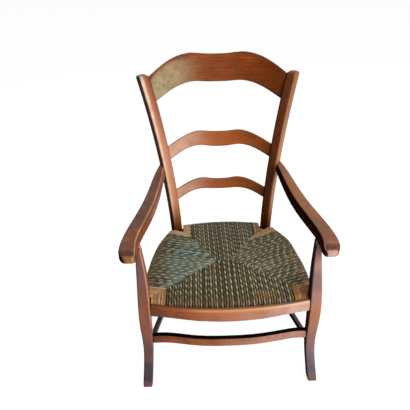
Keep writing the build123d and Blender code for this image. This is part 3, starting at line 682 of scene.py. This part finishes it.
def straw():
    """Natural straw, wound flat: tan strands with fine lines along them."""
    material, shade = new_material("straw_cord")
    where = cord_place(shade)
    fibres = noise(shade, stretched(shade, where, (1.5, 22.0, 1.0)), 4.0, 3.0, 0.6)
    clouds = noise(shade, object_place(shade), 30.0, 3.0, 0.6)
    paleness = cord_value(shade, "tint")
    tone = cord_value(shade, "tone") * 0.7 + fibres * 0.5 + clouds * 0.4 - 0.75 + paleness
    base = tone.ramp(0.1, 0.8).mix(straw_deep, straw_light)
    # Painted shade in the grooves beside each strand
    base = (cord_groove(shade, where) * 0.6).mix(base, groove_shade_straw)
    finish_material(shade, base, 0.45 + fibres * 0.2, fibres, 0.0008, wax_gloss)
    return material


def bed():
    """Dark sheet below the cords, seen only in the gaps between them; its dark colour is painted shade."""
    material, shade = new_material("rush_bed_shade")
    clouds = noise(shade, object_place(shade), 120.0, 3.0, 0.6)
    finish_material(shade, clouds.mix(bed_shade_dark, bed_shade_light), 0.7 + clouds * 0.2, clouds, 0.0005)
    return material


def front_section(count):
    """Front edge as a parabola over X, with inward directions nearly parallel."""
    half = front_edge_half - front_end_gap * cord_pitch
    x = np.linspace(-half, half, count)
    slope = 2 * front_edge_bow * x / front_edge_half**2 * end_fan
    y = front_edge_y + front_edge_bow * ((x / front_edge_half) ** 2 - 1)
    return np.stack([x, y], 1), np.stack([-slope, np.ones_like(x)], 1)


def back_section(count):
    """Back edge as a parabola over X, with inward directions nearly parallel."""
    half = back_edge_half - back_end_gap * cord_pitch
    x = np.linspace(-half, half, count)
    slope = -2 * back_edge_bow * x / back_edge_half**2 * end_fan
    y = back_edge_y + back_edge_bow * (1 - (x / back_edge_half) ** 2)
    return np.stack([x, y], 1), np.stack([slope, -np.ones_like(x)], 1)


def side_section(count, side):
    """Side edge as a parabola over Y with a swelling; the inward directions lean forwards."""
    points = np.array(side_edge_points)
    curve = np.polyfit(points[:, 1], points[:, 0], 2)
    y = np.linspace(corner_front[1] + cord_pitch, corner_back[1] - back_end_gap * cord_pitch, count)
    x = np.polyval(curve, y) + side_swell[side] * np.exp(-(((y - side_swell_y) / side_swell_reach) ** 2))
    lean = np.radians(np.linspace(*side_lean[side], count))
    return np.stack([side * x, y], 1), np.stack([-side * np.cos(lean), -np.sin(lean)], 1)


def section_edge(section, times):
    """Edge points and inward directions of a section's cords, laid so many times as close as rush.

    The front and back have one or two cords fewer than would fill their edges, for the gaps at the ends.
    """
    if section == "front":
        return front_section(times * (round(2 * front_edge_half / cord_pitch) - 1))
    if section == "back":
        return back_section(times * (round(2 * back_edge_half / cord_pitch) - 2))
    count = round((corner_back[1] - corner_front[1]) / cord_pitch)
    return side_section(times * count, -1 if section == "left" else 1)


def left_of(point):
    """The mirrored point on the left side."""
    return (-point[0], point[1])


def section_seams():
    """Seams that bound each section: two slanting ones and the middle one, where front and back meet."""
    middle = (apex_left, apex_right)
    return {
        "front": [(left_of(corner_front), apex_left), (apex_right, corner_front), middle],
        "back": [(left_of(corner_back), apex_left), (apex_right, corner_back), middle],
        "left": [(left_of(corner_front), apex_left), (apex_left, left_of(corner_back)), middle],
        "right": [(corner_front, apex_right), (apex_right, corner_back), middle],
    }


def reach_to_seams(edge, inward, seams):
    """Distance from each edge point along its inward direction to the nearest seam, and which seam it is."""
    start = np.array([seam[0] for seam in seams])
    run = np.array([seam[1] for seam in seams]) - start
    gap = start[None] - edge[:, None]
    cross = inward[:, None, 0] * run[None, :, 1] - inward[:, None, 1] * run[None, :, 0]
    distance = (gap[..., 0] * run[None, :, 1] - gap[..., 1] * run[None, :, 0]) / cross
    share = (gap[..., 0] * inward[:, None, 1] - gap[..., 1] * inward[:, None, 0]) / cross
    hit = (distance > 0) & (share > -seam_slack) & (share < 1 + seam_slack)
    distance = np.where(hit, distance, np.inf)
    nearest = distance.argmin(1)
    return distance[np.arange(len(edge)), nearest], nearest


def seat_top(x, y):
    """Height of the woven surface: a ball with a shallow crown."""
    return seat_crown - (x**2 + (y - seat_middle_y) ** 2) / (2 * seat_crown_radius)


def cord_lines(edge, inward, reach, dive):
    """Centre lines of a section's cords, as two tables of cords by points: inset from the edge, and height.

    Each runs from its seam along the crown to the rounded edge, down the side, round and back under the seat.
    """
    inset_top = np.linspace(1, 0, points_top)[None] * (reach[:, None] - edge_round_top) + edge_round_top
    x = edge[:, :1] + inset_top * inward[:, :1]
    y = edge[:, 1:] + inset_top * inward[:, 1:]
    near_seam = np.clip(1 - (reach[:, None] - inset_top) / (3 * seam_dive), 0, 1)
    z_top = seat_top(x, y) - cord_radius - dive[:, None] * near_seam**2
    z_edge = z_top[:, -1:]
    every_cord = np.zeros_like(z_edge)
    bend = np.linspace(0, math.pi / 2, points_bend)[None, 1:]
    round_top = edge_round_top - cord_radius
    round_low = edge_round_low - cord_radius
    inset_bend = edge_round_top - round_top * np.sin(bend) + every_cord
    z_bend = z_edge - round_top * (1 - np.cos(bend))
    low = seat_underside + cord_radius
    drop = np.linspace(0, 1, points_side)[None, 1:]
    z_side = z_bend[:, -1:] + (low + round_low - z_bend[:, -1:]) * drop
    inset_side = np.full_like(z_side, cord_radius)
    inset_turn = edge_round_low - round_low * np.cos(bend) + every_cord
    z_turn = low + round_low * (1 - np.sin(bend)) + every_cord
    inset_low = edge_round_low + np.linspace(0, 1, points_low)[None, 1:] * (reach[:, None] - edge_round_low)
    z_low = np.full_like(inset_low, low)
    inset = np.concatenate([inset_top, inset_bend, inset_side, inset_turn, inset_low], 1)
    height = np.concatenate([z_top, z_bend, z_side, z_turn, z_low], 1)
    return inset, height


def heap_before_posts(centre):
    """Raises the upper part of the cords that pass before the back posts."""
    risen = np.clip((points_top + points_bend - np.arange(centre.shape[1])) / points_bend, 0, 1)
    for side, heap in straw_heap.items():
        away = np.hypot(centre[..., 0] - side * straw_heap_place[0], centre[..., 1] - straw_heap_place[1])
        centre[..., 2] += heap * np.exp(-((away / straw_heap_reach) ** 2)) * risen


def lay_cords(edge, inward, inset, height):
    """Centre lines in space, straying a little, with the directions across each cord and out of the seat."""
    count, length = inset.shape
    wander = np.cumsum(rng.normal(0, 1, (count, length)), 1)
    wander = (wander - wander.mean(1, keepdims=True)) / length**0.5 * cord_wander
    across = np.stack([-inward[:, 1], inward[:, 0], np.zeros(count)], 1)
    centre = np.empty((count, length, 3))
    centre[..., :2] = edge[:, None] + inset[..., None] * inward[:, None]
    centre[..., :2] += wander[..., None] * across[:, None, :2]
    centre[..., 2] = height + np.roll(wander, 1, 0) * wander_rise
    heap_before_posts(centre)
    steps = np.gradient(np.stack([inset, height], 2), axis=1)
    steps /= np.linalg.norm(steps, axis=2, keepdims=True)
    outward = np.empty_like(centre)
    outward[..., :2] = steps[..., 1:] * inward[:, None]
    outward[..., 2] = -steps[..., 0]
    return centre, across, outward


def turns_along(centre, stretch, start):
    """Turns of the twist that each cord has made at each of its points."""
    steps = np.linalg.norm(np.diff(centre, axis=1, prepend=centre[:, :1]), axis=2)
    return np.cumsum(steps, 1) / (twist_pitch * stretch[:, None]) + start[:, None]


def quads(*corners):
    """Four-cornered faces from four tables of point numbers."""
    return np.stack(corners, -1).reshape(-1, 4)


def cord_tubes(centre, across, outward, turns, thick):
    """Points, faces and UV places of tubes round the centre lines, closed to a point at both ends.

    A tube's radius is less in a groove that turns round it twice in every twist, so it looks like two plies.
    """
    count, length = turns.shape
    angle = np.linspace(0, 2 * math.pi, points_round, endpoint=False)
    turned = angle[None, None] - 2 * math.pi * turns[..., None]
    radius = cord_radius * thick[:, None, None] * (1 - ply_relief * (1 - np.cos(2 * turned)))
    radius[:, [0, -1]] = 0.0
    sideways = np.cos(angle)[None, None, :, None] * across[:, None, None]
    ring = sideways + np.sin(angle)[None, None, :, None] * outward[:, :, None]
    points = (centre[:, :, None] + radius[..., None] * ring).reshape(-1, 3)
    cell = np.arange(count * length * points_round).reshape(count, length, points_round)
    following = np.roll(cell, -1, 2)
    faces = quads(cell[:, :-1], cell[:, 1:], following[:, 1:], following[:, :-1])
    along_uv = np.broadcast_to(turns[..., None], cell.shape)
    round_uv = np.broadcast_to(np.arange(points_round) / points_round, cell.shape)
    uv_here = np.stack([along_uv, round_uv], -1)
    uv_next = uv_here + np.array([0, 1 / points_round])
    uv = np.stack([uv_here[:, :-1], uv_here[:, 1:], uv_next[:, 1:], uv_next[:, :-1]], -2).reshape(-1, 2)
    return points, faces, uv


def cord_sheet(centre, outward, first):
    """Points and faces of the sheet that joins neighbouring cords; its points are numbered from first."""
    count, length = centre.shape[:2]
    points = (centre - sheet_sink * outward).reshape(-1, 3)
    cell = np.arange(count * length).reshape(count, length) + first
    return points, quads(cell[:-1, :-1], cell[1:, :-1], cell[1:, 1:], cell[:-1, 1:])


def cord_mesh(name, tubes, sheet, stored, materials):
    """Mesh of tubes and their sheet, each with its material, and with numbers stored on the cords' points."""
    points, faces, uv = tubes
    sheet_points, sheet_faces = sheet
    mesh = bpy.data.meshes.new(name)
    mesh.from_pydata(np.concatenate([points, sheet_points]), [], np.concatenate([faces, sheet_faces]))
    uv = np.concatenate([uv, np.zeros((sheet_faces.size, 2))])
    mesh.uv_layers.new(name="cord").data.foreach_set("uv", uv.ravel())
    index = np.concatenate([np.zeros(len(faces), int), np.ones(len(sheet_faces), int)])
    mesh.polygons.foreach_set("material_index", index)
    mesh.polygons.foreach_set("use_smooth", np.ones(len(index), bool))
    for key, values in stored.items():
        spread = np.concatenate([np.repeat(values, points_round), values])
        mesh.attributes.new(key, "FLOAT", "POINT").data.foreach_set("value", spread.astype(np.float32))
    for material in materials:
        mesh.materials.append(material)
    return mesh


def weave(name, edge, inward, seams, chosen, cords, materials):
    """Builds the chosen cords of one section as twisted tubes, with a sheet below them."""
    inward = inward / np.linalg.norm(inward, axis=1, keepdims=True)
    reach, nearest = reach_to_seams(edge, inward, seams)
    dive = np.where(nearest == middle_seam, 0.0, seam_dive)
    inset, height = cord_lines(edge, inward, reach + seam_reach, dive)
    inset = inset[chosen]
    length = inset.shape[1]
    centre, across, outward = lay_cords(edge[chosen], inward[chosen], inset, height[chosen])
    turns = turns_along(centre, cords["stretch"][chosen], cords["start"][chosen])
    centre += cords["lift"] * outward
    tubes = cord_tubes(centre, across, outward, turns, cords["thick"][chosen])
    sheet = cord_sheet(centre, outward, len(tubes[0]))
    stored = {key: np.repeat(cords[key][chosen], length) for key in ("dashed", "tone", "tint")}
    stored["inset"] = inset.ravel()
    near_seam = np.clip(1 - (reach[chosen][:, None] - inset) / seam_sheen_reach, 0, 1)
    on_top = np.arange(length) < points_top
    stored["seam"] = (near_seam * on_top * (nearest[chosen] == first_seam)[:, None]).ravel()
    piece = bpy.data.objects.new(name, cord_mesh(name, tubes, sheet, stored, materials))
    bpy.context.scene.collection.objects.link(piece)
    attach(piece, "root")
    return piece


def draw_cords(count, tint, thickness):
    """Random twist, thickness and tone of each cord; every other one has a bold pale ply.

    The tint is the share of the teal painted sheen in rush, or the paleness of straw. Thinner cords are
    lifted so that their tops stay level with the rest.
    """
    start = rng.uniform(0, 1, count)
    stretch = rng.uniform(0.84, 1.16, count)
    thick = rng.uniform(0.94, 1.06, count) * thickness
    tone = rng.uniform(0, 1, count)
    bold = rng.uniform(0.7, 1.0, count)
    faint = rng.uniform(0.0, 0.45, count)
    return {
        "start": start,
        "stretch": stretch,
        "thick": thick,
        "lift": cord_radius * (1 - thickness),
        "tone": tone,
        "dashed": np.where(np.arange(count) % 2, bold, faint),
        "tint": np.full(count, tint),
    }


def straw_cords(section, edge):
    """Which cords of a section belong to each of its two straw corners."""
    if section == "front":
        return {"front_left": edge[:, 0] < -straw_front_x, "front_right": edge[:, 0] > straw_front_x}
    if section == "back":
        return {"back_left": edge[:, 0] < -straw_back_x, "back_right": edge[:, 0] > straw_back_x}
    return {f"front_{section}": edge[:, 1] < straw_front_y, f"back_{section}": edge[:, 1] > straw_back_y}


def weave_seat():
    """Lays the four woven sections and the straw corners between the legs and posts."""
    rush_material = rush()
    straw_material = straw()
    bed_material = bed()
    for section, seams in section_seams().items():
        edge, inward = section_edge(section, 1)
        plain = ~np.any(list(straw_cords(section, edge).values()), axis=0)
        cords = draw_cords(len(edge), section_sheen_teal[section], 1.0)
        piece = weave(f"rush_{section}", edge, inward, seams, plain, cords, [rush_material, bed_material])
        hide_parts("rush_seat")
        edge, inward = section_edge(section, straw_times)
        paler = straw_side_paleness if section in ("left", "right") else -straw_side_paleness
        for corner, chosen in straw_cords(section, edge).items():
            cords = draw_cords(len(edge), straw_paleness[corner] + paler, straw_thickness)
            name = f"straw_{corner}_{section}"
            piece = weave(name, edge, inward, seams, chosen, cords, [straw_material, bed_material])
            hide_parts(f"straw_corner_{corner}")


def paint_filling():
    """Loose straw inside the seat."""
    material, shade = new_material("straw_filling")
    strands = noise(shade, stretched(shade, object_place(shade), (0.1, 1, 1)), 260.0, 3.0, 0.6)
    finish_material(shade, strands.mix(straw_deep, straw_light), 0.6 + strands * 0.2, strands, 0.001)
    paint("seat_filling", material)


def area_light(name, place, target, size, energy, tint):
    """Soft rectangular lamp that faces a target."""
    lamp = bpy.data.lights.new(name, "AREA")
    lamp.shape = "RECTANGLE"
    lamp.size, lamp.size_y = size
    lamp.energy = energy
    lamp.color = tint
    holder = bpy.data.objects.new(name, lamp)
    holder.location = place
    holder.rotation_euler = (Vector(target) - Vector(place)).to_track_quat("-Z", "Y").to_euler()
    bpy.context.scene.collection.objects.link(holder)


def seen_directly(shade):
    """1 for rays that show the background: from the camera, or by a mirror or through glass."""
    rays = ("Is Camera Ray", "Is Glossy Ray", "Is Transmission Ray")
    camera_ray, glossy_ray, glass_ray = (shade.node("ShaderNodeLightPath", output=ray) for ray in rays)
    return shade.math("MAXIMUM", camera_ray + glossy_ray, glass_ray)


def surround():
    """World that lights weakly and shows white."""
    world = bpy.data.worlds.new("studio")
    world.use_nodes = True
    world.node_tree.nodes.clear()
    shade = Shade(world.node_tree)
    fill = shade.node("ShaderNodeBackground", {}, {"Color": fill_tint, "Strength": fill_strength})
    shown = shade.node("ShaderNodeBackground", {}, {"Color": white, "Strength": 1.0})
    both = shade.node("ShaderNodeMixShader", {}, {0: seen_directly(shade), 1: fill, 2: shown})
    shade.node("ShaderNodeOutputWorld", {}, {"Surface": both})
    bpy.context.scene.world = world


def lay_floor():
    """Pale floor that the camera sees as white with a shadow."""
    material, shade = new_material("floor")
    plain = shade.node("ShaderNodeBsdfDiffuse", {}, {"Color": floor_tint})
    weak = shade.node("ShaderNodeBsdfDiffuse", {}, {"Color": floor_shown_tint})
    glow = shade.node("ShaderNodeEmission", {}, {"Color": white, "Strength": floor_glow})
    shown = shade.node("ShaderNodeAddShader", {}, {0: weak, 1: glow})
    surface = shade.node("ShaderNodeMixShader", {}, {0: seen_directly(shade), 1: plain, 2: shown})
    shade.node("ShaderNodeOutputMaterial", {}, {"Surface": surface})
    mesh = bpy.data.meshes.new("floor")
    signs = ((-1, -1), (1, -1), (1, 1), (-1, 1))
    mesh.from_pydata([(x * floor_reach, y * floor_reach, 0) for x, y in signs], [], [(0, 1, 2, 3)])
    mesh.materials.append(material)
    floor = bpy.data.objects.new("floor", mesh)
    bpy.context.scene.collection.objects.link(floor)


def studio():
    """White surround and floor, a soft window at the front right and a weak sky above."""
    bpy.context.scene.view_settings.view_transform = "Standard"
    surround()
    lay_floor()
    area_light(
        "window", place=(1.5, -1.65, 1.15), target=(0, 0, 0.45), size=(1.5, 2.0), energy=64,
        tint=(1.0, 0.98, 0.95),
    )
    area_light(
        "sky", place=(0.3, 0.2, 2.6), target=(0, 0, 0.4), size=(1.6, 1.6), energy=14,
        tint=(1.0, 1.0, 1.0),
    )


def place_camera():
    """Camera at the photograph's angle."""
    data = bpy.data.cameras.new("camera")
    data.lens = camera_lens
    data.shift_x, data.shift_y = camera_shift
    holder = bpy.data.objects.new("camera", data)
    turn = Matrix.Rotation(math.radians(camera_turn), 4, "Z")
    pitch = Matrix.Rotation(math.radians(camera_pitch), 4, "X")
    roll = Matrix.Rotation(math.radians(camera_roll), 4, "Y")
    level = Matrix.Rotation(math.radians(90), 4, "X")
    holder.matrix_world = Matrix.Translation(camera_place) @ turn @ pitch @ roll @ level
    bpy.context.scene.collection.objects.link(holder)
    bpy.context.scene.camera = holder


paint_wood()
paint_filling()
weave_seat()
studio()
place_camera()
